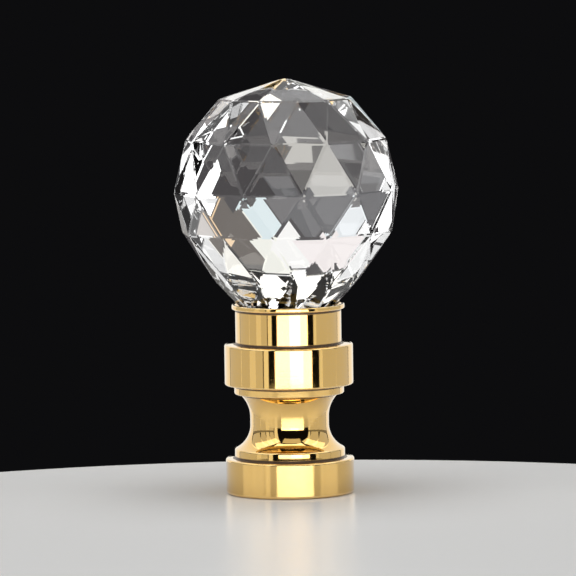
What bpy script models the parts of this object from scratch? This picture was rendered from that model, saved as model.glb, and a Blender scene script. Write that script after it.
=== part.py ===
"""Lamp shade finial: a cut crystal ball seated in a turned, polished brass base.

Lengths are in metres and angles in degrees. +Z is up, the front is -Y, and the origin is
the centre of the underside. The base screws onto a lamp's threaded stud, and the ball's
tapered neck sits in a seat at the top of the base.
"""
import math

import bmesh
import bpy

# Crystal ball
BALL_RADIUS = 0.0150      # centre to a corner of the girdle
BALL_FACETS = 12          # facets around the girdle
BALL_TURN = 8.0           # angle from the front to the first girdle corner, to the right
CROWN_TRIM = 0.0002       # how far the top point lies inside the ball's radius
NECK_RADIUS = 0.0051      # corner radius of the flat end of the neck
NECK_TAPER = 42.8         # slope of the neck, from the upright

# Belts of facet corners from the top down. Height and radius are shares of the ball's
# radius. A belt has that many corners to a girdle facet, and is turned by that share of one.
BELTS = (
    (0.807, 0.591, 1, 0.00),
    (0.450, 0.891, 1, 0.50),
    (0.000, 1.000, 1, 0.00),
    (-0.367, 0.934, 1, 0.50),
    (-0.600, 0.776, 2, 0.25),
    (-0.803, 0.637, 1, 0.00),
)

# Seat for the neck, and the cup and collar around it
SEAT_DEPTH = 0.0020       # from the lip down to the floor of the seat
SEAT_CLEARANCE = 0.0003   # between the glass and the brass
LIP_WALL = 0.00038        # width of the rim around the seat
LIP_HEIGHT = 0.00060
LIP_PROUD = 0.00046       # how far the lip stands out from the cup
CUP_HEIGHT = 0.00465
COLLAR_LEDGE = 0.00150    # how far the collar stands out from the cup
COLLAR_HEIGHT = 0.00540
NECKING_SETBACK = 0.00125 # how far the ring under the collar is set back from it
NECKING_HEIGHT = 0.00120

# Waist: a hollow between the necking ring and the foot ring
WAIST_TOP_SETBACK = 0.00065
UPPER_FLARE_HEIGHT = 0.00310
UPPER_FLARE_SWEEP = 50.0  # part of a quarter turn that the hollow's arc runs through
THROAT_RADIUS = 0.00520
THROAT_HEIGHT = 0.00100
LOWER_FLARE_HEIGHT = 0.00320
LOWER_FLARE_SWEEP = 66.0

# Foot ring and disc
FOOT_RING_RADIUS = 0.00728
FOOT_RING_HEIGHT = 0.00125
DISC_RADIUS = 0.00850
DISC_HEIGHT = 0.00470

# Threaded socket in the underside, drilled to the thread's full width
SOCKET_RADIUS = 0.003175
SOCKET_DEPTH = 0.0095
SOCKET_CHAMFER = 0.00040
DRILL_POINT = 118.0       # angle of the drill's cone at the end of the hole

# Rounds on the turned edges
LIP_ROUND = 0.00016
EDGE_ROUND = 0.00025
RING_ROUND = 0.00020
HEEL_ROUND = 0.00042      # lower edge of the disc

# Fineness of the solids
TURN_STEPS = 64
ROUND_STEPS = 2
FLARE_STEPS = 7
SHARP_ANGLE = 32.0        # edges flatter than this are shaded smooth

# Heights of the base, from the underside up
DISC_TOP = DISC_HEIGHT
FOOT_RING_TOP = DISC_TOP + FOOT_RING_HEIGHT
THROAT_BOTTOM = FOOT_RING_TOP + LOWER_FLARE_HEIGHT
THROAT_TOP = THROAT_BOTTOM + THROAT_HEIGHT
WAIST_TOP = THROAT_TOP + UPPER_FLARE_HEIGHT
NECKING_TOP = WAIST_TOP + NECKING_HEIGHT
COLLAR_TOP = NECKING_TOP + COLLAR_HEIGHT
CUP_TOP = COLLAR_TOP + CUP_HEIGHT
LIP_TOP = CUP_TOP + LIP_HEIGHT
SEAT_FLOOR = LIP_TOP - SEAT_DEPTH

# The neck's taper sets how high the ball stands and how wide the seat opens
NECK_SLOPE = math.tan(math.radians(NECK_TAPER))
LOWEST_BELT_HEIGHT = BALL_RADIUS * BELTS[-1][0]
LOWEST_BELT_RADIUS = BALL_RADIUS * BELTS[-1][1]
NECK_LENGTH = (LOWEST_BELT_RADIUS - NECK_RADIUS) / NECK_SLOPE
NECK_END = SEAT_FLOOR + SEAT_CLEARANCE
BALL_CENTRE = NECK_END + NECK_LENGTH - LOWEST_BELT_HEIGHT
SEAT_OFFSET = SEAT_CLEARANCE * math.hypot(1.0, NECK_SLOPE)


def seat_radius(height):
    """Radius of the conical seat, which runs beside the neck at the named clearance."""
    return NECK_RADIUS + (height - NECK_END) * NECK_SLOPE + SEAT_OFFSET


# Radii of the base that follow from the seat
SEAT_MOUTH_RADIUS = seat_radius(LIP_TOP)
LIP_RADIUS = SEAT_MOUTH_RADIUS + LIP_WALL
CUP_RADIUS = LIP_RADIUS - LIP_PROUD
COLLAR_RADIUS = CUP_RADIUS + COLLAR_LEDGE
NECKING_RADIUS = COLLAR_RADIUS - NECKING_SETBACK
WAIST_TOP_RADIUS = NECKING_RADIUS - WAIST_TOP_SETBACK


def clear_scene():
    """Remove every object, so that the model starts from an empty scene."""
    for obj in list(bpy.data.objects):
        bpy.data.objects.remove(obj, do_unlink=True)


def new_collection(name):
    """A collection in the scene for the pieces of the finial."""
    collection = bpy.data.collections.new(name)
    bpy.context.scene.collection.children.link(collection)
    return collection


def crystal_material():
    """Clear lead glass: colourless, sharp and strongly refracting."""
    material = bpy.data.materials.new("crystal")
    material.use_nodes = True
    shader = material.node_tree.nodes["Principled BSDF"]
    shader.inputs["Base Color"].default_value = (1.0, 1.0, 1.0, 1.0)
    shader.inputs["Roughness"].default_value = 0.0
    shader.inputs["IOR"].default_value = 1.54
    shader.inputs["Transmission Weight"].default_value = 1.0
    return material


def brass_material():
    """Polished yellow brass."""
    material = bpy.data.materials.new("polished_brass")
    material.use_nodes = True
    shader = material.node_tree.nodes["Principled BSDF"]
    shader.inputs["Base Color"].default_value = (0.80, 0.58, 0.26, 1.0)
    shader.inputs["Metallic"].default_value = 1.0
    shader.inputs["Roughness"].default_value = 0.12
    return material


def belt_corners(height, radius, corners, turn):
    """The corners of one belt, evenly spaced, counted from the front to the right."""
    count = BALL_FACETS * corners
    start = math.radians(BALL_TURN) + turn * math.tau / BALL_FACETS
    points = []
    for index in range(count):
        angle = start + index * math.tau / count
        points.append((radius * math.sin(angle), -radius * math.cos(angle), height))
    return points


def make_crystal_ball(collection, material):
    """The ball is the tight skin around its belts of corners, top point and neck end.

    Between two belts that are half a facet out of step the skin is a row of triangles that
    point up and down by turns. The neck keeps step with the belt above it, so its facets
    are flat four-sided strips.
    """
    corners = [(0.0, 0.0, BALL_RADIUS - CROWN_TRIM)]
    for height, radius, per_facet, turn in BELTS:
        corners += belt_corners(height * BALL_RADIUS, radius * BALL_RADIUS, per_facet, turn)
    corners += belt_corners(NECK_END - BALL_CENTRE, NECK_RADIUS, 1, BELTS[-1][3])

    ball = bmesh.new()
    for corner in corners:
        ball.verts.new(corner)
    bmesh.ops.convex_hull(ball, input=ball.verts)
    bmesh.ops.dissolve_limit(ball, angle_limit=math.radians(0.1),
                             verts=ball.verts, edges=ball.edges)
    bmesh.ops.recalc_face_normals(ball, faces=ball.faces)
    mesh = bpy.data.meshes.new("crystal_ball")
    ball.to_mesh(mesh)
    ball.free()
    mesh.shade_flat()

    obj = bpy.data.objects.new("crystal_ball", mesh)
    obj.location = (0.0, 0.0, BALL_CENTRE)
    obj.data.materials.append(material)
    collection.objects.link(obj)
    return obj


def flare(throat_height, end_height, end_radius, sweep):
    """Points of the waist's arc, from upright at the throat out to a ring.

    The arc is part of an ellipse: it runs through the sweep angle, and is stretched to end
    at the ring's radius and height.
    """
    sweep = math.radians(sweep)
    reach = (end_radius - THROAT_RADIUS) / (1.0 - math.cos(sweep))
    rise = (end_height - throat_height) / math.sin(sweep)
    points = []
    for index in range(FLARE_STEPS + 1):
        angle = sweep * index / FLARE_STEPS
        radius = THROAT_RADIUS + reach * (1.0 - math.cos(angle))
        points.append((radius, throat_height + rise * math.sin(angle)))
    return points


def rounded(before, corner, after, radius):
    """The arc that replaces a corner, no longer than half of either side of it."""
    bx, bz = before[0] - corner[0], before[1] - corner[1]
    ax, az = after[0] - corner[0], after[1] - corner[1]
    b_length, a_length = math.hypot(bx, bz), math.hypot(ax, az)
    bx, bz, ax, az = bx / b_length, bz / b_length, ax / a_length, az / a_length
    half = math.acos(max(-1.0, min(1.0, bx * ax + bz * az))) / 2
    cut = min(radius / math.tan(half), b_length / 2, a_length / 2)
    radius = cut * math.tan(half)
    to_centre = math.hypot(cut, radius)
    mx, mz = bx + ax, bz + az
    middle = math.hypot(mx, mz)
    cx = corner[0] + mx / middle * to_centre
    cz = corner[1] + mz / middle * to_centre
    start = math.atan2(corner[1] + bz * cut - cz, corner[0] + bx * cut - cx)
    end = math.atan2(corner[1] + az * cut - cz, corner[0] + ax * cut - cx)
    turn = (end - start + math.pi) % math.tau - math.pi
    points = []
    for index in range(ROUND_STEPS + 1):
        angle = start + turn * index / ROUND_STEPS
        points.append((cx + radius * math.cos(angle), cz + radius * math.sin(angle)))
    return points


def base_outline():
    """The turned outline: over the seat, down the outside, under the disc, up the socket."""
    upper = flare(THROAT_TOP, WAIST_TOP, WAIST_TOP_RADIUS, UPPER_FLARE_SWEEP)
    lower = flare(THROAT_BOTTOM, FOOT_RING_TOP, FOOT_RING_RADIUS, LOWER_FLARE_SWEEP)
    drill_tip = SOCKET_DEPTH + SOCKET_RADIUS / math.tan(math.radians(DRILL_POINT / 2))

    corners = [
        (0.0, SEAT_FLOOR, 0.0),
        (seat_radius(SEAT_FLOOR), SEAT_FLOOR, 0.0),
        (SEAT_MOUTH_RADIUS, LIP_TOP, 0.0),
        (LIP_RADIUS, LIP_TOP, LIP_ROUND),
        (LIP_RADIUS, CUP_TOP, LIP_ROUND),
        (CUP_RADIUS, CUP_TOP, 0.0),
        (CUP_RADIUS, COLLAR_TOP, 0.0),
        (COLLAR_RADIUS, COLLAR_TOP, EDGE_ROUND),
        (COLLAR_RADIUS, NECKING_TOP, EDGE_ROUND),
        (NECKING_RADIUS, NECKING_TOP, 0.0),
        (NECKING_RADIUS, WAIST_TOP, RING_ROUND),
    ]
    corners += [(radius, height, 0.0) for radius, height in reversed(upper)]
    corners += [(radius, height, 0.0) for radius, height in lower]
    corners += [
        (FOOT_RING_RADIUS, DISC_TOP, 0.0),
        (DISC_RADIUS, DISC_TOP, EDGE_ROUND),
        (DISC_RADIUS, 0.0, HEEL_ROUND),
        (SOCKET_RADIUS + SOCKET_CHAMFER, 0.0, 0.0),
        (SOCKET_RADIUS, SOCKET_CHAMFER, 0.0),
        (SOCKET_RADIUS, SOCKET_DEPTH, 0.0),
        (0.0, drill_tip, 0.0),
    ]

    outline = []
    for index, (radius, height, edge_round) in enumerate(corners):
        if edge_round:
            outline += rounded(corners[index - 1], corners[index],
                               corners[index + 1], edge_round)
        else:
            outline.append((radius, height))
    return outline


def make_brass_base(collection, material):
    """Turn the outline about the upright axis, as on a lathe."""
    outline = base_outline()
    profile = bpy.data.meshes.new("brass_base_outline")
    edges = [(index, index + 1) for index in range(len(outline) - 1)]
    profile.from_pydata([(radius, 0.0, height) for radius, height in outline], edges, [])
    obj = bpy.data.objects.new("brass_base", profile)
    collection.objects.link(obj)

    screw = obj.modifiers.new("turning", "SCREW")
    screw.axis = "Z"
    screw.angle = math.tau
    screw.steps = TURN_STEPS
    screw.render_steps = TURN_STEPS
    screw.use_merge_vertices = True
    screw.merge_threshold = 0.00001
    screw.use_smooth_shade = True

    bpy.context.view_layer.update()
    evaluated = obj.evaluated_get(bpy.context.evaluated_depsgraph_get())
    mesh = bpy.data.meshes.new_from_object(evaluated)
    mesh.name = "brass_base"
    obj.modifiers.clear()
    obj.data = mesh
    bpy.data.meshes.remove(profile)
    mesh.shade_smooth()
    mesh.set_sharp_from_angle(angle=math.radians(SHARP_ANGLE))
    mesh.materials.append(material)
    return obj


def main():
    clear_scene()
    finial = new_collection("lamp_shade_finial")
    make_brass_base(finial, brass_material())
    make_crystal_ball(finial, crystal_material())


main()
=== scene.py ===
# %% [markdown]
# Lamp shade finial: a cut crystal ball on a turned brass base. The measured solids come in
# as a fixed frame. This lesson builds the two finished pieces in their place, gives them
# their materials, and sets up a small studio around them. Lengths are in metres, and the
# front of the piece looks along -Y.

# %% Load the measured model
import math

import bmesh
import bpy
from mathutils import Matrix, Vector


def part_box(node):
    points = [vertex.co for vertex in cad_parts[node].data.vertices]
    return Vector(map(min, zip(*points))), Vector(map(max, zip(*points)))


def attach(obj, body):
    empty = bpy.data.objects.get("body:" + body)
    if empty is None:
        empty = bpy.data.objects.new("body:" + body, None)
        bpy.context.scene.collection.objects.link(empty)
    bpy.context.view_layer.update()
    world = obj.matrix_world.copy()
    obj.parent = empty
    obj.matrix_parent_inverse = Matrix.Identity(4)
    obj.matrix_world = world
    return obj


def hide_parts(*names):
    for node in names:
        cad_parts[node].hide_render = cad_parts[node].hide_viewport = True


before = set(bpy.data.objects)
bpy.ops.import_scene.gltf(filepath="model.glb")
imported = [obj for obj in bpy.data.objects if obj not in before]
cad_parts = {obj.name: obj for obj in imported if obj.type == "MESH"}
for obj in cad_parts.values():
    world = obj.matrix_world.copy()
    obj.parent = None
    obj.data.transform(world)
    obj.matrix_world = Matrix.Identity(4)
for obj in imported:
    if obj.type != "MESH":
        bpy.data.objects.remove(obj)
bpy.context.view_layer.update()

# %% [markdown]
# The real ball is ground on a wheel: flat facets in level belts, twelve to the girdle. It is
# named here by the belts of points where facets meet. Each belt gives a height and a radius
# as shares of the ball's radius, its number of points to one girdle facet, and how far it is
# turned, in facets. Six belts are enough, because the facets follow from their points.

# %% Sizes of the crystal ball
BALL_RADIUS = 0.0150
BALL_FACETS = 12
BALL_TURN = math.radians(8.0)
CROWN_TRIM = 0.0002
NECK_RADIUS = 0.0051
NECK_TAPER = math.radians(42.8)
BELTS = (
    (0.807, 0.591, 1, 0.00),
    (0.450, 0.891, 1, 0.50),
    (0.000, 1.000, 1, 0.00),
    (-0.367, 0.934, 1, 0.50),
    (-0.600, 0.776, 2, 0.25),
    (-0.803, 0.637, 1, 0.00),
)
ball_low, ball_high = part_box("crystal_ball")
NECK_END = ball_low.z
BALL_CENTRE = ball_high.z - BALL_RADIUS + CROWN_TRIM
print("ball centre at", round(BALL_CENTRE * 1000, 2), "mm, neck end at",
      round(NECK_END * 1000, 2), "mm")

# %% [markdown]
# The brass base is one piece, turned from a bar. A turner marks the rings off one after
# another along the bar, and the heights here are added up in the same way, from the disc at
# the bottom to the lip. That way a ring can be made taller without a gap above it.

# %% Heights of the brass base
DISC_HEIGHT = 0.00470
FOOT_RING_HEIGHT = 0.00125
LOWER_FLARE_HEIGHT = 0.00320
THROAT_HEIGHT = 0.00100
UPPER_FLARE_HEIGHT = 0.00310
NECKING_HEIGHT = 0.00120
COLLAR_HEIGHT = 0.00540
CUP_HEIGHT = 0.00465
LIP_HEIGHT = 0.00060
SEAT_DEPTH = 0.00200
DISC_TOP = DISC_HEIGHT
FOOT_RING_TOP = DISC_TOP + FOOT_RING_HEIGHT
THROAT_BOTTOM = FOOT_RING_TOP + LOWER_FLARE_HEIGHT
THROAT_TOP = THROAT_BOTTOM + THROAT_HEIGHT
WAIST_TOP = THROAT_TOP + UPPER_FLARE_HEIGHT
NECKING_TOP = WAIST_TOP + NECKING_HEIGHT
COLLAR_TOP = NECKING_TOP + COLLAR_HEIGHT
CUP_TOP = COLLAR_TOP + CUP_HEIGHT
LIP_TOP = CUP_TOP + LIP_HEIGHT
SEAT_FLOOR = LIP_TOP - SEAT_DEPTH
base_low, base_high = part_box("brass_base")
print("lip at", round(LIP_TOP * 1000, 2), "mm, in the frame", round(base_high.z * 1000, 2))

# %% [markdown]
# The ball's neck sits in a conical seat, with a little room around it. The neck sets how
# wide the seat opens, the seat sets the lip, and each ring below stands out or in from the
# one above it. The disc, the foot ring and the throat have radii of their own.

# %% Radii of the brass base
SEAT_CLEARANCE = 0.0003
LIP_WALL = 0.00038
LIP_PROUD = 0.00046
COLLAR_LEDGE = 0.00150
NECKING_SETBACK = 0.00125
WAIST_SETBACK = 0.00065


def seat_radius(height):
    """The seat's radius at a height, beside the neck at its clearance, to the micrometre."""
    slope = math.tan(NECK_TAPER)
    offset = SEAT_CLEARANCE * math.hypot(1.0, slope)
    return round(NECK_RADIUS + (height - NECK_END) * slope + offset, 6)


SEAT_MOUTH_RADIUS = seat_radius(LIP_TOP)
SEAT_RADIUS = seat_radius(SEAT_FLOOR)
LIP_RADIUS = SEAT_MOUTH_RADIUS + LIP_WALL
CUP_RADIUS = LIP_RADIUS - LIP_PROUD
COLLAR_RADIUS = CUP_RADIUS + COLLAR_LEDGE
NECKING_RADIUS = COLLAR_RADIUS - NECKING_SETBACK
WAIST_TOP_RADIUS = NECKING_RADIUS - WAIST_SETBACK
THROAT_RADIUS = 0.00520
FOOT_RING_RADIUS = 0.00728
DISC_RADIUS = 0.00850
print("collar", round(COLLAR_RADIUS * 2000, 2), "mm across, in the frame",
      round((base_high.x - base_low.x) * 1000, 2))

# %% [markdown]
# Blender's operators act on whatever is selected, and loading the frame leaves its solids
# selected. These helpers clear the selection, enter edit mode, and pick faces or edges by
# where they are, as a hand would pick them in the viewport.

# %% Helpers for selecting
RING_SLACK = 0.000012


def deselect_all():
    """Leave object mode with nothing selected and nothing active."""
    if bpy.context.object and bpy.context.object.mode != "OBJECT":
        bpy.ops.object.mode_set(mode="OBJECT")
    bpy.ops.object.select_all(action="DESELECT")
    bpy.context.view_layer.objects.active = None


def pick(obj):
    """Select this object only, and make it active."""
    deselect_all()
    obj.select_set(True)
    bpy.context.view_layer.objects.active = obj


def edit(obj, mode):
    """Enter edit mode on one object, with nothing selected in it."""
    pick(obj)
    bpy.ops.object.mode_set(mode="EDIT")
    bpy.ops.mesh.select_mode(type=mode)
    bpy.ops.mesh.select_all(action="DESELECT")


def select_faces(obj, chosen):
    """In edit mode, select the faces that pass the test."""
    mesh = bmesh.from_edit_mesh(obj.data)
    for face in mesh.faces:
        face.select_set(chosen(face))
    bmesh.update_edit_mesh(obj.data)


def on_ring(vert, ring):
    """Is this point on the level circle with the ring's radius and height?"""
    radius, height = ring
    return abs(vert.co.xy.length - radius) < RING_SLACK and abs(vert.co.z - height) < RING_SLACK


def select_rings(obj, rings):
    """In edit mode, select the circles of edges with the given radii and heights."""
    mesh = bmesh.from_edit_mesh(obj.data)
    for edge in mesh.edges:
        edge.select_set(any(all(on_ring(vert, ring) for vert in edge.verts) for ring in rings))
    bmesh.update_edit_mesh(obj.data)


print("selection helpers ready")

# %% [markdown]
# Wear and polish differ along an edge, so each narrow face that an edge round leaves behind
# is marked on the mesh. The mark is a face attribute, which a material can read later.

# %% Helpers for edges and modifiers
EDGE_MARK = "rounded_edge"


def round_edges(obj, width, segments):
    """In edit mode, round the selected edges and mark the narrow faces that appear."""
    bpy.ops.mesh.bevel(offset=width, offset_type="OFFSET", segments=segments, affect="EDGES")
    mesh = bmesh.from_edit_mesh(obj.data)
    layer = mesh.faces.layers.float.get(EDGE_MARK) or mesh.faces.layers.float.new(EDGE_MARK)
    for face in mesh.faces:
        if face.select:
            face[layer] = 1.0
    bmesh.update_edit_mesh(obj.data)


def apply_place(obj):
    """Put the object's place, turn and scale into its mesh."""
    pick(obj)
    bpy.ops.object.transform_apply(location=True, rotation=True, scale=True)


def apply_modifier(obj, kind, **settings):
    """Add a modifier, set it up and apply it."""
    modifier = obj.modifiers.new(kind.lower(), kind)
    for name, value in settings.items():
        setattr(modifier, name, value)
    pick(obj)
    bpy.ops.object.modifier_apply(modifier=modifier.name)


def report(obj):
    """Print how large a piece's mesh is."""
    print(obj.name, len(obj.data.vertices), "points", len(obj.data.polygons), "faces")


print("edge and modifier helpers ready")

# %% [markdown]
# The same shape as the cutter's can be had by placing its points. Each belt is a circle with
# one vertex per point, and the convex hull operator stretches the tightest skin over all of
# them, which is exactly the set of facets. A sphere would need dozens of separate cuts to
# get there. The top point is a tiny circle, merged to its centre.

# %% Set out the belts and stretch the facets over them
CROWN_POINT = BALL_CENTRE + BALL_RADIUS - CROWN_TRIM
TIP_CIRCLE = 0.0002
FLAT_ANGLE = math.radians(0.2)


def add_belt(radius, height, points, turn):
    """Add one level circle of points."""
    bpy.ops.mesh.primitive_circle_add(
        vertices=points, radius=radius, location=(0, 0, height), rotation=(0, 0, turn))


def make_crystal():
    """A solid ball of flat facets with a tapered neck."""
    deselect_all()
    add_belt(NECK_RADIUS, NECK_END, BALL_FACETS, BALL_TURN)
    crystal = bpy.context.object
    crystal.name = "cut_crystal_ball"
    apply_place(crystal)
    edit(crystal, "VERT")
    facet_angle = math.tau / BALL_FACETS
    for height, radius, points, turn in BELTS:
        add_belt(radius * BALL_RADIUS, BALL_CENTRE + height * BALL_RADIUS,
                 points * BALL_FACETS, BALL_TURN + turn * facet_angle)
    bpy.ops.mesh.select_all(action="DESELECT")
    add_belt(TIP_CIRCLE, CROWN_POINT, 3, 0)
    bpy.ops.mesh.merge(type="CENTER")
    bpy.ops.mesh.select_all(action="SELECT")
    bpy.ops.mesh.convex_hull(join_triangles=False)
    bpy.ops.mesh.select_all(action="SELECT")
    bpy.ops.mesh.dissolve_limited(angle_limit=FLAT_ANGLE)
    bpy.ops.mesh.select_all(action="SELECT")
    bpy.ops.mesh.normals_make_consistent(inside=False)
    bpy.ops.object.mode_set(mode="OBJECT")
    return crystal


crystal = make_crystal()
report(crystal)

# %% [markdown]
# Two polished facets never meet in a perfect line. The last wheel leaves a hair-thin rounded
# arris between them, and in the photograph these lines are what draws the facets. A small
# bevel on every edge makes them. The facets stay flat-shaded, or they would stop glinting.

# %% Soften the arrises
ARRIS = 0.00023
ARRIS_SEGMENTS = 2
edit(crystal, "EDGE")
bpy.ops.mesh.select_all(action="SELECT")
round_edges(crystal, ARRIS, ARRIS_SEGMENTS)
bpy.ops.object.mode_set(mode="OBJECT")
bpy.ops.object.shade_flat()
report(crystal)

# %% [markdown]
# The waist is the one curve of the base: a hollow that a round-nosed tool would leave. Its
# two flares are parts of an ellipse, upright at the throat. They could be drawn point by
# point, but an arc needs only its two ends and the angle that it sweeps through.

# %% The curve of the waist
FLARE_STEPS = 20
LOWER_SWEEP = math.radians(66.0)
UPPER_SWEEP = math.radians(50.0)


def flare(throat_height, end_height, end_radius, sweep):
    """Rings of the waist's arc, from upright at the throat out to its end."""
    reach = (end_radius - THROAT_RADIUS) / (1 - math.cos(sweep))
    rise = (end_height - throat_height) / math.sin(sweep)
    rings = []
    for step in range(FLARE_STEPS + 1):
        angle = sweep * step / FLARE_STEPS
        radius = THROAT_RADIUS + reach * (1 - math.cos(angle))
        rings.append((radius, throat_height + rise * math.sin(angle)))
    return rings


lower_flare = flare(THROAT_BOTTOM, FOOT_RING_TOP, FOOT_RING_RADIUS, LOWER_SWEEP)
upper_flare = flare(THROAT_TOP, WAIST_TOP, WAIST_TOP_RADIUS, UPPER_SWEEP)
print("the waist has", len(lower_flare) + len(upper_flare), "rings")

# %% [markdown]
# A turner works from a bar, step by step along its length. Here a cylinder is the disc at
# the bottom, and its top face is drawn up in the same way: each step extrudes the face to a
# new height and scales it to a new radius. The curved waist is the same move along an arc.
# A spun profile would give the same surface, but this way each ring is a move of its own.

# %% Turn the outside and the seat
SIDES = 192
LEVEL = 0.9
OUTSIDE = [
    (FOOT_RING_RADIUS, DISC_TOP),
    *reversed(lower_flare),
    *upper_flare,
    (NECKING_RADIUS, WAIST_TOP),
    (NECKING_RADIUS, NECKING_TOP),
    (COLLAR_RADIUS, NECKING_TOP),
    (COLLAR_RADIUS, COLLAR_TOP),
    (CUP_RADIUS, COLLAR_TOP),
    (CUP_RADIUS, CUP_TOP),
    (LIP_RADIUS, CUP_TOP),
    (LIP_RADIUS, LIP_TOP),
    (SEAT_MOUTH_RADIUS, LIP_TOP),
    (SEAT_RADIUS, SEAT_FLOOR),
]


def draw_face(rings, radius, height):
    """Extrude the selected face through a list of radii and heights."""
    for new_radius, new_height in rings:
        bpy.ops.mesh.extrude_region_move(
            TRANSFORM_OT_translate={"value": (0, 0, new_height - height)})
        scale = new_radius / radius
        bpy.ops.transform.resize(value=(scale, scale, 1), center_override=(0, 0, 0))
        radius, height = new_radius, new_height


def turn_outside():
    """The base as it comes off the lathe, with its seat and a plain underside."""
    deselect_all()
    bpy.ops.mesh.primitive_cylinder_add(
        vertices=SIDES, radius=DISC_RADIUS, depth=DISC_TOP, location=(0, 0, DISC_TOP / 2))
    base = bpy.context.object
    base.name = "turned_brass_base"
    apply_place(base)
    edit(base, "FACE")
    select_faces(base, lambda face: face.normal.z > LEVEL)
    draw_face(OUTSIDE, DISC_RADIUS, DISC_TOP)
    bpy.ops.object.mode_set(mode="OBJECT")
    return base


base = turn_outside()
report(base)

# %% [markdown]
# The finial screws down on the stud of a lamp harp, so its underside is drilled. A drill
# leaves a cone at the end of the hole, and the mouth is chamfered to start the thread. The
# hole could be cut with a Boolean, but the underside can be drawn in like the outside.

# %% Bore the socket
SOCKET_RADIUS = 0.003175
SOCKET_DEPTH = 0.00950
SOCKET_CHAMFER = 0.00040
DRILL_POINT = math.radians(118.0)
SOCKET = [
    (SOCKET_RADIUS + SOCKET_CHAMFER, 0.0),
    (SOCKET_RADIUS, SOCKET_CHAMFER),
    (SOCKET_RADIUS, SOCKET_DEPTH),
]


def bore_socket(base):
    """Draw the underside up into a chamfered, drilled hole."""
    edit(base, "FACE")
    select_faces(base, lambda face: face.normal.z < -LEVEL and len(face.verts) == SIDES)
    draw_face(SOCKET, DISC_RADIUS, 0.0)
    tip_height = SOCKET_RADIUS / math.tan(DRILL_POINT / 2)
    bpy.ops.mesh.extrude_region_move(TRANSFORM_OT_translate={"value": (0, 0, tip_height)})
    bpy.ops.mesh.merge(type="CENTER")
    bpy.ops.object.mode_set(mode="OBJECT")


bore_socket(base)
report(base)

# %% [markdown]
# The stud's thread has 27 turns to the inch. A tap cuts the groove and leaves a ridge. The
# ridge is drawn here as one small wedge, wound up the bore by the Screw modifier, and its
# ends are closed before it is united with the base. A bump would not show in the mesh.

# %% Wind the thread
THREAD_PITCH = 0.0254 / 27
THREAD_MINOR_RADIUS = 0.00268
THREAD_START = 0.0012
THREAD_TURNS = 8
THREAD_STEPS = 48
THREAD_BITE = 0.00005
FOOT_SHARE = 0.80
CREST_SHARE = 0.25


def make_thread():
    """A closed helical ridge. Its foot is a share of the pitch, its crest one of the foot."""
    deselect_all()
    depth = SOCKET_RADIUS - THREAD_MINOR_RADIUS + THREAD_BITE
    middle = SOCKET_RADIUS + THREAD_BITE - depth / 2
    bpy.ops.mesh.primitive_plane_add(
        size=1, location=(middle, 0, THREAD_START), rotation=(math.pi / 2, 0, 0))
    thread = bpy.context.object
    thread.name = "thread"
    thread.scale = (depth, THREAD_PITCH * FOOT_SHARE, 1)
    apply_place(thread)
    edit(thread, "VERT")
    mesh = bmesh.from_edit_mesh(thread.data)
    for vert in mesh.verts:
        vert.select_set(vert.co.x < middle)
    mesh.select_flush(True)
    bmesh.update_edit_mesh(thread.data)
    bpy.ops.transform.resize(value=(1, 1, CREST_SHARE), center_override=(0, 0, THREAD_START))
    bpy.ops.mesh.select_all(action="SELECT")
    bpy.ops.mesh.delete(type="ONLY_FACE")
    bpy.ops.object.mode_set(mode="OBJECT")
    apply_modifier(thread, "SCREW", axis="Z", steps=THREAD_STEPS, render_steps=THREAD_STEPS,
                   iterations=THREAD_TURNS, screw_offset=THREAD_PITCH, use_smooth_shade=False)
    edit(thread, "EDGE")
    bpy.ops.mesh.select_non_manifold()
    bpy.ops.mesh.edge_face_add()
    bpy.ops.mesh.select_all(action="SELECT")
    bpy.ops.mesh.normals_make_consistent(inside=False)
    bpy.ops.object.mode_set(mode="OBJECT")
    return thread


thread = make_thread()
report(thread)
apply_modifier(base, "BOOLEAN", operation="UNION", object=thread, solver="EXACT")
bpy.data.objects.remove(thread)
report(base)

# %% [markdown]
# A lathe never leaves a razor edge, and polishing softens it further. Each outer edge gets a
# round of its own, picked by its radius and height, and each inner corner a fine fillet,
# because a tool tip is never perfectly sharp. These are the thin bright and dark lines
# around the real base.

# %% Round the turned edges
ROUND_SEGMENTS = 5
FILLET_SEGMENTS = 3
HEEL_ROUND = 0.00042
EDGE_ROUND = 0.00025
RING_ROUND = 0.00020
FINE_ROUND = 0.00016
INNER_FILLET = 0.00008
OUTER_ROUNDS = (
    (HEEL_ROUND, ((DISC_RADIUS, 0.0),)),
    (EDGE_ROUND, ((DISC_RADIUS, DISC_TOP), (COLLAR_RADIUS, NECKING_TOP),
                  (COLLAR_RADIUS, COLLAR_TOP))),
    (RING_ROUND, ((NECKING_RADIUS, WAIST_TOP),)),
    (FINE_ROUND, ((LIP_RADIUS, CUP_TOP), (LIP_RADIUS, LIP_TOP),
                  (FOOT_RING_RADIUS, FOOT_RING_TOP))),
)
INNER_CORNERS = (
    (FOOT_RING_RADIUS, DISC_TOP),
    (WAIST_TOP_RADIUS, WAIST_TOP),
    (NECKING_RADIUS, NECKING_TOP),
    (CUP_RADIUS, COLLAR_TOP),
    (CUP_RADIUS, CUP_TOP),
)
for width, rings in OUTER_ROUNDS:
    edit(base, "EDGE")
    select_rings(base, rings)
    round_edges(base, width, ROUND_SEGMENTS)
edit(base, "EDGE")
select_rings(base, INNER_CORNERS)
bpy.ops.mesh.bevel(offset=INNER_FILLET, offset_type="OFFSET", segments=FILLET_SEGMENTS,
                   affect="EDGES")
bpy.ops.object.mode_set(mode="OBJECT")
report(base)

# %% [markdown]
# Smooth shading stops at the sharp edges, and weighted normals keep the long walls truly
# flat between their rounds, so that the polished rings reflect like mirrors. More sides
# would not do it, because the shading would still bend near each edge.

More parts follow.
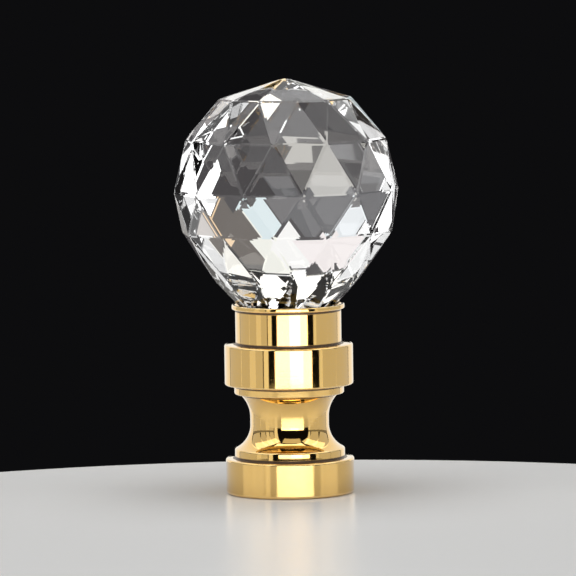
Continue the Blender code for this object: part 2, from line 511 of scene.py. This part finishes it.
# %% Shade the turned base
SHARP_ANGLE = math.radians(32)
WALL_WEIGHT = 90
pick(base)
bpy.ops.object.shade_smooth_by_angle(angle=SHARP_ANGLE)
apply_modifier(base, "WEIGHTED_NORMAL", keep_sharp=True, weight=WALL_WEIGHT)
report(base)

# %% [markdown]
# The finial is one rigid thing, so both pieces ride on the same body. Each one takes the
# place of its plain solid, and is named with the finish that it has in the record.

# %% Hang the pieces on the frame
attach(crystal, "root")
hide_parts("crystal_ball")
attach(base, "root")
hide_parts("brass_base")
print(crystal.name, "and", base.name, "ride on root")

# %% [markdown]
# Materials come next. They could be wired by hand in the Shader Editor. These helpers do
# the same in code: they add a node with its settings, and connect sockets by name.

# %% Helpers for shader nodes
def add_node(tree, kind, inputs=None, **settings):
    """Add a node, set its properties, and give its inputs values or links."""
    node = tree.nodes.new(kind)
    for name, value in settings.items():
        setattr(node, name, value)
    for name, value in (inputs or {}).items():
        if isinstance(value, bpy.types.NodeSocket):
            tree.links.new(value, node.inputs[name])
        else:
            node.inputs[name].default_value = value
    return node


def maths(tree, operation, first, second, clamp=False):
    """A Math node's result, from two values or sockets."""
    node = add_node(tree, "ShaderNodeMath", {0: first, 1: second}, operation=operation)
    node.use_clamp = clamp
    return node.outputs[0]


def spread(tree, value, low, high, new_low=0.0, new_high=1.0):
    """Map a value smoothly from one range to another."""
    node = add_node(tree, "ShaderNodeMapRange", {
        "Value": value, "From Min": low, "From Max": high, "To Min": new_low,
        "To Max": new_high}, interpolation_type="SMOOTHSTEP")
    return node.outputs["Result"]


def blend(tree, share, first, second):
    """Mix two colours, or a colour socket and a colour, by a share."""
    node = add_node(tree, "ShaderNodeMix", data_type="RGBA")
    tree.links.new(share, node.inputs[0])
    for socket, colour in ((node.inputs[6], first), (node.inputs[7], second)):
        if isinstance(colour, bpy.types.NodeSocket):
            tree.links.new(colour, socket)
        else:
            socket.default_value = (*colour, 1.0)
    return node.outputs[2]


print("node helpers ready")

# %% [markdown]
# An effect that several materials share is a node group, built once and placed in each with
# its own values. Edge wear and wipe marks are on the glass and the brass, and wipe marks on
# the floor too. Copied nodes would look the same, but each change would be made three times.

# %% Helpers for groups and materials
def new_group(name, inputs, outputs):
    """An empty node group with named float inputs and outputs."""
    group = bpy.data.node_groups.new(name, "ShaderNodeTree")
    for socket, value in inputs.items():
        group.interface.new_socket(socket, in_out="INPUT",
                                   socket_type="NodeSocketFloat").default_value = value
    for socket in outputs:
        group.interface.new_socket(socket, in_out="OUTPUT", socket_type="NodeSocketFloat")
    return group, group.nodes.new("NodeGroupInput").outputs, group.nodes.new("NodeGroupOutput")


def use_group(tree, group, **values):
    """Place a node group in a material with its own values."""
    node = add_node(tree, "ShaderNodeGroup", node_tree=group)
    for name, value in values.items():
        node.inputs[name.replace("_", " ").capitalize()].default_value = value
    return node.outputs


def new_material(name):
    """A material with its Principled shader, ready for nodes."""
    material = bpy.data.materials.new(name)
    material.use_nodes = True
    return material, material.node_tree, material.node_tree.nodes["Principled BSDF"]


def dress(obj, material):
    """Give the piece its one material."""
    obj.data.materials.clear()
    obj.data.materials.append(material)


print("group and material helpers ready")

# %% [markdown]
# Edge wear: a hand or a cloth rubs the edges first. The mask is the mark left on the rounded
# edges, broken up by noise so that no edge is worn evenly along its length. It could be
# painted, but then it would have to be painted again whenever a size changed.

# %% Edge wear group
LEAST_WEAR = 0.35
edge_wear, given, result = new_group(
    "edge_wear", {"Amount": 1.0, "Patch size": 0.002}, ["Mask"])
mark = add_node(edge_wear, "ShaderNodeAttribute", attribute_name=EDGE_MARK)
place = add_node(edge_wear, "ShaderNodeTexCoord")
patches = add_node(edge_wear, "ShaderNodeTexNoise", {
    "Vector": place.outputs["Object"], "Detail": 3.0,
    "Scale": maths(edge_wear, "DIVIDE", 1.0, given["Patch size"])})
broken = spread(edge_wear, patches.outputs["Fac"], low=0.35, high=0.65, new_low=LEAST_WEAR)
worn = maths(edge_wear, "MULTIPLY", mark.outputs["Fac"], broken)
edge_wear.links.new(maths(edge_wear, "MULTIPLY", worn, given["Amount"]), result.inputs["Mask"])
print("edge wear group:", len(edge_wear.nodes), "nodes")

# %% [markdown]
# Wipe marks: what a soft cloth leaves on a polished surface, a faint haze in streaks with a
# few specks of dust. It is nearly invisible, and it only widens a reflection a little. The
# streaks are noise that a Mapping node turns aslant and stretches.

# %% Wipe marks group
STREAK_SLANT = (0.5, 0.3, 0.9)
STREAK_STRETCH = (1.0, 0.22, 1.0)
SPECKS_TO_THE_METRE = 1400.0
wipe_marks, given, result = new_group(
    "wipe_marks", {"Haze": 0.02, "Dust": 0.1, "Streak size": 0.004}, ["Roughness"])
place = add_node(wipe_marks, "ShaderNodeTexCoord")
slant = add_node(wipe_marks, "ShaderNodeMapping", {
    "Vector": place.outputs["Object"], "Rotation": STREAK_SLANT, "Scale": STREAK_STRETCH})
streaks = add_node(wipe_marks, "ShaderNodeTexNoise", {
    "Vector": slant.outputs["Vector"], "Detail": 5.0, "Roughness": 0.6,
    "Scale": maths(wipe_marks, "DIVIDE", 1.0, given["Streak size"])})
haze = maths(wipe_marks, "MULTIPLY",
             spread(wipe_marks, streaks.outputs["Fac"], low=0.45, high=0.75), given["Haze"])
specks = add_node(wipe_marks, "ShaderNodeTexVoronoi", {
    "Vector": place.outputs["Object"], "Scale": SPECKS_TO_THE_METRE})
grain = maths(wipe_marks, "MULTIPLY",
              spread(wipe_marks, specks.outputs["Distance"], low=0.10, high=0.04),
              given["Dust"])
wipe_marks.links.new(maths(wipe_marks, "ADD", haze, grain), result.inputs["Roughness"])
print("wipe marks group:", len(wipe_marks.nodes), "nodes")

# %% [markdown]
# Clear lead crystal bends light more than window glass, and that is most of its look: the
# index here is 1.54. A Glass shader would do, but the Principled shader has the same look
# by plain values, and keeps one kind of shader for all pieces. The facets are almost
# perfectly smooth, and only the arrises are a touch rougher, so they glow along their length.

# %% Clear crystal
CLEAR = (0.985, 0.992, 0.990, 1.0)
CRYSTAL_INDEX = 1.54
crystal_material, tree, shader = new_material("clear_crystal")
shader.inputs["Base Color"].default_value = CLEAR
shader.inputs["IOR"].default_value = CRYSTAL_INDEX
shader.inputs["Transmission Weight"].default_value = 1.0
wear = use_group(tree, edge_wear, amount=0.02, patch_size=0.003)
marks = use_group(tree, wipe_marks, haze=0.001, dust=0.02, streak_size=0.005)
roughness = maths(tree, "ADD", wear["Mask"], marks["Roughness"], clamp=True)
tree.links.new(roughness, shader.inputs["Roughness"])
dress(crystal, crystal_material)
print("clear crystal:", len(tree.nodes), "nodes")

# %% [markdown]
# The brass is turned, buffed to a mirror and lacquered. The lathe leaves rings too fine to
# see one by one. They follow the axis on every wall and ledge, so the pattern is noise read
# at the radius and the height only. A Wave texture would make rings too, but all alike.

# %% Lathe rings in the brass
FINE_RINGS_TO_THE_METRE, FINE_SHARE = 16000.0, 0.4
BROAD_RINGS_TO_THE_METRE, BROAD_SHARE = 1500.0, 0.6
brass_material, tree, shader = new_material("polished_brass")
place = add_node(tree, "ShaderNodeTexCoord").outputs["Object"]
axes = add_node(tree, "ShaderNodeSeparateXYZ", {"Vector": place}).outputs
flat_place = add_node(tree, "ShaderNodeCombineXYZ", {"X": axes["X"], "Y": axes["Y"]})
axis_distance = add_node(tree, "ShaderNodeVectorMath", {0: flat_place.outputs["Vector"]},
                         operation="LENGTH").outputs["Value"]
ring_place = add_node(tree, "ShaderNodeCombineXYZ", {"X": axis_distance, "Z": axes["Z"]})
fine_rings = add_node(tree, "ShaderNodeTexNoise", {
    "Vector": ring_place.outputs["Vector"], "Scale": FINE_RINGS_TO_THE_METRE, "Detail": 2.0})
broad_rings = add_node(tree, "ShaderNodeTexNoise", {
    "Vector": ring_place.outputs["Vector"], "Scale": BROAD_RINGS_TO_THE_METRE, "Detail": 3.0})
ring_height = maths(tree, "ADD",
                    maths(tree, "MULTIPLY", fine_rings.outputs["Fac"], FINE_SHARE),
                    maths(tree, "MULTIPLY", broad_rings.outputs["Fac"], BROAD_SHARE))
bump = add_node(tree, "ShaderNodeBump", {
    "Height": ring_height, "Strength": 0.035, "Distance": 0.0001})
tree.links.new(bump.outputs["Normal"], shader.inputs["Normal"])
print("lathe rings:", len(tree.nodes), "nodes")

# %% [markdown]
# Painted shade goes in the inner corners: a dark brown that stands for their shade. It draws
# the fine dark lines under the lip, the collar and the foot ring. One group makes the mask for
# one corner, a circle of a given radius and height, and is placed once for each.

# %% Painted corner shade group
FULL_SHARE = 0.6
# The mask says where painted shade goes in one inner corner.
painted_corner_shade, given, result = new_group(
    "painted_corner_shade", {"Radius": 0.007, "Height": 0.01, "Width": 0.0003}, ["Mask"])
axes_in_group = add_node(painted_corner_shade, "ShaderNodeSeparateXYZ", {
    "Vector": add_node(painted_corner_shade, "ShaderNodeTexCoord").outputs["Object"]}).outputs
level = add_node(painted_corner_shade, "ShaderNodeCombineXYZ", {
    "X": axes_in_group["X"], "Y": axes_in_group["Y"]})
outwards = add_node(painted_corner_shade, "ShaderNodeVectorMath", {0: level.outputs["Vector"]},
                    operation="LENGTH").outputs["Value"]
gap = add_node(painted_corner_shade, "ShaderNodeCombineXYZ", {
    "X": maths(painted_corner_shade, "SUBTRACT", outwards, given["Radius"]),
    "Z": maths(painted_corner_shade, "SUBTRACT", axes_in_group["Z"], given["Height"])})
away = add_node(painted_corner_shade, "ShaderNodeVectorMath", {0: gap.outputs["Vector"]},
                operation="LENGTH").outputs["Value"]
full = maths(painted_corner_shade, "MULTIPLY", given["Width"], FULL_SHARE)
painted_corner_shade.links.new(
    spread(painted_corner_shade, away, given["Width"], full), result.inputs["Mask"])
print("corner residue group:", len(painted_corner_shade.nodes), "nodes")

# %% [markdown]
# The five inner corners share one mask for the painted shade: the largest of their five. The
# socket was never buffed or lacquered, so it has a mask too, which is everything near the axis
# and low down. A second material would do for the socket, but the piece would then have two.

# %% Painted shade in the corners, and a bare socket
CORNER_WIDTH = 0.00038
BARE_RADIUS = 0.0040
BARE_HEIGHT = 0.0150
# The corner masks add up to the painted shade of all five inner corners.
painted_shade = 0.0
for corner_radius, corner_height in INNER_CORNERS:
    corner = use_group(tree, painted_corner_shade, radius=corner_radius, height=corner_height,
                       width=CORNER_WIDTH)
    painted_shade = maths(tree, "MAXIMUM", painted_shade, corner["Mask"])
bare = maths(tree, "MULTIPLY", maths(tree, "LESS_THAN", axis_distance, BARE_RADIUS),
             maths(tree, "LESS_THAN", axes["Z"], BARE_HEIGHT))
print("corners and socket masked:", len(tree.nodes), "nodes so far")

# %% [markdown]
# The colour is a warm yellow brass that drifts a little from place to place. Rubbed edges
# are paler, the corners get a painted brown shade and the socket is dull. One flat colour
# would be simpler, but it would look like plastic as soon as the light is even.

# %% Brass colour
BRASS_LIGHT = (0.89, 0.575, 0.180)
BRASS_DEEP = (0.86, 0.545, 0.155)
BRASS_RUBBED = (0.94, 0.72, 0.36)
BRASS_DULL = (0.55, 0.38, 0.18)
# The dark brown below is painted shade for the inner corners, not a colour of the brass.
PAINTED_SHADE_BROWN = (0.10, 0.055, 0.025)
DULL_SHARE = 0.5
brass_wear = use_group(tree, edge_wear, amount=0.5, patch_size=0.0015)
brass_marks = use_group(tree, wipe_marks, haze=0.05, dust=0.10, streak_size=0.003)
cloud = add_node(tree, "ShaderNodeTexNoise", {"Vector": place, "Scale": 260.0, "Detail": 2.0})
brass = blend(tree, cloud.outputs["Fac"], BRASS_LIGHT, BRASS_DEEP)
brass = blend(tree, brass_wear["Mask"], brass, BRASS_RUBBED)
brass = blend(tree, painted_shade, brass, PAINTED_SHADE_BROWN)
brass = blend(tree, maths(tree, "MULTIPLY", bare, DULL_SHARE), brass, BRASS_DULL)
tree.links.new(brass, shader.inputs["Base Color"])
print("brass colour:", len(tree.nodes), "nodes so far")

# %% [markdown]
# Roughness adds up from the polish, the wipe marks, the worn edges, the painted corner shade
# and the dull socket. The lacquer is the shader's coat over the metal, and it is left off where
# the metal is bare and under the painted shade. Metallic is low under the painted shade too.

# %% Brass gloss and lacquer
POLISH = 0.055
LACQUER_GLOSS = 0.03
PAINTED_SHADE_COVER = 0.8
ROUGHENED = ((brass_wear["Mask"], 0.08), (painted_shade, 0.25), (bare, 0.22))
roughness = maths(tree, "ADD", brass_marks["Roughness"], POLISH)
for mask, amount in ROUGHENED:
    roughness = maths(tree, "ADD", roughness, maths(tree, "MULTIPLY", mask, amount), clamp=True)
tree.links.new(roughness, shader.inputs["Roughness"])
# The coat and the metal are taken off under the painted corner shade, so that it stays dark.
bare_or_painted_shade = maths(tree, "MAXIMUM", bare, painted_shade)
tree.links.new(maths(tree, "SUBTRACT", 1.0, bare_or_painted_shade), shader.inputs["Coat Weight"])
painted_shade_cover = maths(tree, "MULTIPLY", painted_shade, PAINTED_SHADE_COVER)
tree.links.new(maths(tree, "SUBTRACT", 1.0, painted_shade_cover), shader.inputs["Metallic"])
shader.inputs["Coat Roughness"].default_value = LACQUER_GLOSS
dress(base, brass_material)
print("polished brass:", len(tree.nodes), "nodes")

# %% [markdown]
# The studio is what the glass and the brass reflect, so it is half of their look. Small
# polished things are photographed on a little table in a dark room, inside a ring of white
# panels. The table is round and ends close behind the piece, because the ball shows
# everything upside down: its upper half looks down past the back of the table.

# %% Floor
FLOOR_RADIUS = 0.092
FLOOR_BACK = 0.036
FLOOR_THICKNESS = 0.006
FLOOR_SIDES = 256
deselect_all()
bpy.ops.mesh.primitive_cylinder_add(
    vertices=FLOOR_SIDES, radius=FLOOR_RADIUS, depth=FLOOR_THICKNESS,
    location=(0, FLOOR_BACK - FLOOR_RADIUS, -FLOOR_THICKNESS / 2))
floor = bpy.context.object
floor.name = "pale_floor"
apply_place(floor)
report(floor)

# %% [markdown]
# The table top is pale board with a satin face. Its gloss is wide, so it mirrors the brass
# only as a soft streak. A plain white would do for the colour, but a little grain keeps it
# from looking like empty background.

# %% Floor finish
FLOOR_LIGHT = (0.885, 0.880, 0.868)
FLOOR_SHADE = (0.865, 0.858, 0.845)
FLOOR_GLOSS = 0.26
FLOOR_SPECULAR = 0.30
floor_material, tree, shader = new_material("pale_floor")
place = add_node(tree, "ShaderNodeTexCoord").outputs["Object"]
grain = add_node(tree, "ShaderNodeTexNoise", {"Vector": place, "Scale": 900.0, "Detail": 3.0})
pale = blend(tree, grain.outputs["Fac"], FLOOR_LIGHT, FLOOR_SHADE)
tree.links.new(pale, shader.inputs["Base Color"])
floor_marks = use_group(tree, wipe_marks, haze=0.004, dust=0.0, streak_size=0.012)
tree.links.new(maths(tree, "ADD", floor_marks["Roughness"], FLOOR_GLOSS),
               shader.inputs["Roughness"])
shader.inputs["Specular IOR Level"].default_value = FLOOR_SPECULAR
dress(floor, floor_material)
print("floor finish:", len(tree.nodes), "nodes")

# %% [markdown]
# Each panel is a flat area light that faces the piece. It is named by the directions it
# fills, as seen from the piece: azimuth 0 is the front and 90 the right of the picture. A
# photographer hides small cards so that they show in one piece only. Light linking does the
# same: a panel with a collection of receivers lights those objects and no others.

# %% A helper for the panels
PANEL_DISTANCE = 1.0
PANEL_CENTRE = Vector((0, 0, 0.025))
WHITE = (1.0, 1.0, 1.0)


def hang_panel(name, turn, rise, width, height, brightness, colour=WHITE, only=None):
    """A light that faces the piece from one direction. At brightness 1 it looks white."""
    data = bpy.data.lights.new(name, "AREA")
    data.shape = "RECTANGLE"
    data.size = width
    data.size_y = height
    data.energy = brightness * math.pi * width * height
    data.color = colour
    lamp = bpy.data.objects.new(name, data)
    bpy.context.scene.collection.objects.link(lamp)
    outwards = Vector((
        math.sin(turn) * math.cos(rise), -math.cos(turn) * math.cos(rise), math.sin(rise)))
    lamp.location = PANEL_CENTRE + PANEL_DISTANCE * outwards
    lamp.rotation_euler = outwards.to_track_quat("Z", "Y").to_euler()
    lamp.visible_camera = False
    lamp.light_linking.receiver_collection = only


def panel(name, turns, rises, brightness, colour=WHITE, only=None):
    """A light between two azimuths and two elevations, in degrees."""
    turn, rise = (math.radians(sum(pair) / 2) for pair in (turns, rises))
    width, height = (2 * PANEL_DISTANCE * math.tan(math.radians(pair[1] - pair[0]) / 2)
                     for pair in (turns, rises))
    hang_panel(name, turn, rise, width * math.cos(rise), height, brightness, colour, only)


def receivers(name, *objects):
    """A collection of the only objects that a panel lights."""
    collection = bpy.data.collections.new(name)
    for obj in objects:
        collection.objects.link(obj)
    return collection


def count_panels():
    """Print how many panels hang in the studio so far."""
    print("panels so far:", len(bpy.data.lights))


brass_only = receivers("lit_brass", base)
crystal_only = receivers("lit_crystal", crystal)
floor_only = receivers("lit_floor", floor)
brass_and_floor = receivers("lit_brass_and_floor", base, floor)
print("panels can be kept to the brass, the crystal or the floor")

# %% [markdown]
# Panels are never all the same white. Most tints here are so faint that they only keep two
# neighbouring facets apart. The strong ones stand for the colours that cut glass splits off
# at its edges, which the shader doesn't make by itself.

# %% Tints of the panels
WARM = (1.0, 0.955, 0.925)
CREAM = (1.0, 0.97, 0.90)
IVORY = (1.0, 0.99, 0.97)
STRAW = (1.0, 1.0, 0.92)
BLUSH = (1.0, 0.93, 0.92)
PEACH = (1.0, 0.94, 0.91)
LILAC = (1.0, 0.93, 0.96)
COOL = (0.93, 0.97, 1.0)
ICE = (0.92, 0.96, 1.0)
PALE_BLUE = (0.92, 0.95, 1.0)
AQUA = (0.84, 0.97, 1.0)
AMBER = (1.0, 0.70, 0.40)
BROWN = (1.0, 0.82, 0.62)
print("tints ready")

# %% [markdown]
# The front panel is the wide white band down the middle of the brass, and the side walls are
# the tan to its left and right. Gaps between them are as useful as the panels. An upright
# wall mirrors what is a little below it, so the gap just above the level shows where the
# brass leans back: as a dark line below the throat, and finely along the upper edges. One
# big soft box would lose all of these lines.

# %% Front and side panels
WALL_HEIGHTS = {"low": (-30, 2.5), "high": (9, 58)}
panel("front_panel", (-24, 42), (-20, 3.5), 1.6, WARM)
panel("left_edge_strip", (-46, -36), (-20, 56), 1.0)
for part, rises in WALL_HEIGHTS.items():
    panel("left_wall_1_" + part, (-62.6, -47), rises, 0.66)
    panel("left_wall_2_" + part, (-74.3, -62), rises, 0.85)
    panel("left_wall_3_" + part, (-95, -73.7), rises, 0.63)
    panel("right_wall_1_" + part, (56, 62.8), rises, 0.9)
    panel("right_wall_2_" + part, (62, 95), rises, 0.63)
count_panels()

# %% [markdown]
# A panel overhead gives the soft, even light, and a second one brightens the floor alone.
# The disc at the bottom mirrors the floor, and the floor's gloss shows what stands low
# around it. So the floor has low panels of its own, which no other piece sees.

# %% Overhead and floor panels
OVERHEAD_SIZE = 0.90
hang_panel("overhead_panel", 0, math.pi / 2, OVERHEAD_SIZE, OVERHEAD_SIZE, 2.2)
hang_panel("floor_panel", 0, math.pi / 2, OVERHEAD_SIZE, OVERHEAD_SIZE, 2.4, WHITE, floor_only)
panel("floor_front", (-24, 42), (1, 12), 7.0, ICE, floor_only)
panel("floor_left", (-95, -47), (1, 15), 0.5, WHITE, floor_only)
panel("floor_right", (56, 95), (1, 15), 0.5, WHITE, floor_only)
count_panels()

# %% [markdown]
# These show in the brass. The first two make the middle band brighter, in the floor's gloss
# too. The walls carry the tan on round the sides. The top panels show where the brass leans
# far back, as in the waist, the gap cards keep the dark lines from going black, and the rims
# light the silhouettes from behind. More light from the front would only widen the band.

# %% Panels for the brass
panel("brass_front", (-25, 42), (-21, 3), 2.2, WARM, brass_and_floor)
panel("brass_hot_spot", (2, 26), (-20, 2.5), 1.8, WHITE, brass_and_floor)
panel("brass_front_top", (-22, 36), (40, 62), 0.7, CREAM, brass_only)
for part, rises in WALL_HEIGHTS.items():
    panel("brass_left_wall_" + part, (-131, -93.6), rises, 0.63, WHITE, brass_only)
    panel("brass_right_wall_" + part, (93.8, 134), rises, 0.63, WHITE, brass_only)
panel("brass_left_top", (-125, -40), (40, 60), 1.0, CREAM, brass_only)
panel("brass_right_top", (48, 128), (40, 60), 1.0, CREAM, brass_only)
panel("brass_left_gap", (-131, -47), (2, 9.5), 0.22, WHITE, brass_only)
panel("brass_right_gap", (56, 134), (2, 9.5), 0.22, WHITE, brass_only)
panel("brass_left_rim", (-178, -131.5), (-44, 56), 1.0, CREAM, brass_only)
panel("brass_right_rim", (134.5, 178), (-44, 56), 1.0, CREAM, brass_only)
count_panels()

# %% [markdown]
# The ball bends its view back on itself, so each facet shows a patch of the studio far from
# where it faces. The panels for the crystal show in it alone. Their places were found by
# following rays from the camera through the ball, and then set one by one, for this camera's
# view.
# The first ones are for the neck and the white outline.

# %% Panels for the ball's outline and neck
panel("neck_glow", (-34, 42), (29, 60), 2.0, CREAM, crystal_only)
panel("ball_left_side", (229, 252), (-27, 24), 2.0, WHITE, crystal_only)
panel("ball_left_low", (232, 248), (-42, -30), 0.8, WHITE, crystal_only)
panel("ball_left_top", (232, 262), (24, 58), 1.1, WHITE, crystal_only)
panel("ball_right_side", (110, 139), (-30, 4), 2.1, WHITE, crystal_only)
panel("front_side_right", (43, 62), (-30, 22), 1.0, WHITE, crystal_only)
panel("front_side_left", (-46, -25), (-30, 22), 0.9, WHITE, crystal_only)
panel("ball_right_top", (112, 140), (22, 58), 1.0, WHITE, crystal_only)
panel("ball_left_gap", (-95, -47), (2, 10), 0.8, WHITE, crystal_only)
panel("ball_right_gap", (56, 95), (2, 10), 0.8, WHITE, crystal_only)
count_panels()

# %% [markdown]
# The dark facets of clear glass are grey and never black, because some light always finds
# its way in. Three large, very dim panels lift them. A brighter room would do that too, but
# it would show in the brass as well.

# %% Faint fills for the dark facets
REAR_FILL_SIZE = (3.4, 2.4)
SIDE_FILL_SIZE = (1.6, 2.2)
hang_panel("rear_fill", math.pi, math.radians(-20), *REAR_FILL_SIZE, 0.075, LILAC, crystal_only)
hang_panel("left_fill", -math.pi / 2, 0, *SIDE_FILL_SIZE, 0.06, LILAC, crystal_only)
hang_panel("right_fill", math.pi / 2, 0, *SIDE_FILL_SIZE, 0.06, LILAC, crystal_only)
count_panels()

# %% [markdown]
# Small cards give single facets their glint. A photographer would move a scrap of white
# paper about until a facet lights up. The cards behind the ball are named by where they
# show in it, because it swaps left and right, and the two in front by where they hang.

# %% Cards for the crown and single facets
panel("crown_streak_left", (149, 171), (-48, -43.7), 1.3, CREAM, crystal_only)
panel("crown_streak_right", (206, 222), (-41, -38.5), 1.0, WHITE, crystal_only)
panel("crown_card_right", (243, 249), (-54, -49), 1.5, WHITE, crystal_only)
panel("crown_edge_right", (217, 225), (-37, -28), 0.8, WHITE, crystal_only)
panel("front_card_low", (-25, -14), (4, 11.5), 1.1, WHITE, crystal_only)
panel("front_card_high", (-20, -10), (17, 24), 1.1, WHITE, crystal_only)
panel("low_left_card", (134, 139), (16, 22), 0.45, PEACH, crystal_only)
panel("left_rim_card", (132, 142), (1, 10), 0.9, WHITE, crystal_only)
panel("crown_speck", (187, 190), (-35.5, -32), 1.2, WHITE, crystal_only)
count_panels()

# %% [markdown]
# The ball shows the room behind it upside down. The white band in its lower half hangs above
# the level, and the dim cards that hang lower show near its middle. These are named by where
# they hang. The band is three panels with slightly different tints and edges, because one
# long panel would make neighbouring facets run together.

# %% The bright band behind the ball
panel("rear_window_card", (177, 224), (-7, 9), 0.08, PALE_BLUE, crystal_only)
panel("rear_grey_card", (208, 228), (-24, -4), 0.14, WHITE, crystal_only)
panel("rear_band_left", (187, 214), (14, 27), 0.86, BLUSH, crystal_only)
panel("rear_band_middle", (176, 187), (12, 26), 0.92, IVORY, crystal_only)
panel("rear_band_right", (163, 176), (11, 32), 0.86, STRAW, crystal_only)
panel("rear_right_brown", (135, 164), (5, 26), 0.08, BROWN, crystal_only)
panel("rear_band_tail", (165, 174), (3, 11), 0.8, AQUA, crystal_only)
panel("rear_band_low", (199, 214), (6, 14), 0.8, COOL, crystal_only)
count_panels()

# %% [markdown]
# The last ones brighten facets low on both sides and one high on the left, draw an amber
# line, and light the crown and a triangle right of the middle. The first three are named by
# where they show in the ball, and the others by where they hang.

# %% Cards for the low facets, the crown and one triangle
panel("low_left_glow", (137, 150), (27, 38), 1.0, CREAM, crystal_only)
panel("low_right_glow", (214, 232), (20, 40), 1.0, WHITE, crystal_only)
panel("upper_left_card", (143, 151), (-44, -30), 1.4, WHITE, crystal_only)
panel("amber_line", (148, 151), (4, 20), 0.8, AMBER, crystal_only)
panel("rear_upper", (165, 222), (36, 60), 0.9, WHITE, crystal_only)
panel("rear_card", (188.5, 205), (-25, -0.5), 0.40, CREAM, crystal_only)
count_panels()

# %% [markdown]
# The room itself is nearly black, so that the dark facets stay dark. It is plain air with no
# walls: a modelled room would only add surfaces for the light to bounce off.

# %% Dark room
ROOM_DARK = (0.004, 0.004, 0.0045, 1)
world = bpy.data.worlds.new("dark_room")
world.use_nodes = True
world.node_tree.nodes["Background"].inputs["Color"].default_value = ROOM_DARK
bpy.context.scene.world = world
print("room ready, with", len(bpy.data.lights), "panels")

# %% [markdown]
# A long lens from a little above keeps the sides upright, as in a catalogue picture. The
# photograph shows the piece at 7.56 pixels to the millimetre and is 576 pixels wide. It is
# also tipped by less than a degree. The Standard view keeps whites as white as they are lit.

# %% Camera
PHOTO_WIDTH = 576
PIXELS_TO_THE_METRE = 7560
CAMERA_DISTANCE = 0.750
CAMERA_TILT = math.radians(5.0)
CAMERA_ROLL = math.radians(0.79)
SENSOR_WIDTH = 36.0
AIM = Vector((0.00003, 0.0, 0.0272))
camera_data = bpy.data.cameras.new("camera")
camera_data.sensor_width = SENSOR_WIDTH
camera_data.lens = SENSOR_WIDTH * CAMERA_DISTANCE / (PHOTO_WIDTH / PIXELS_TO_THE_METRE)
camera = bpy.data.objects.new("camera", camera_data)
bpy.context.scene.collection.objects.link(camera)
turned = (Matrix.Rotation(math.pi / 2 - CAMERA_TILT, 4, "X")
          @ Matrix.Rotation(-CAMERA_ROLL, 4, "Z"))
backwards = Vector((0, -math.cos(CAMERA_TILT), math.sin(CAMERA_TILT)))
camera.matrix_world = Matrix.Translation(AIM + CAMERA_DISTANCE * backwards) @ turned
bpy.context.scene.camera = camera
bpy.context.scene.view_settings.view_transform = "Standard"
print("lens:", round(camera_data.lens), "mm")
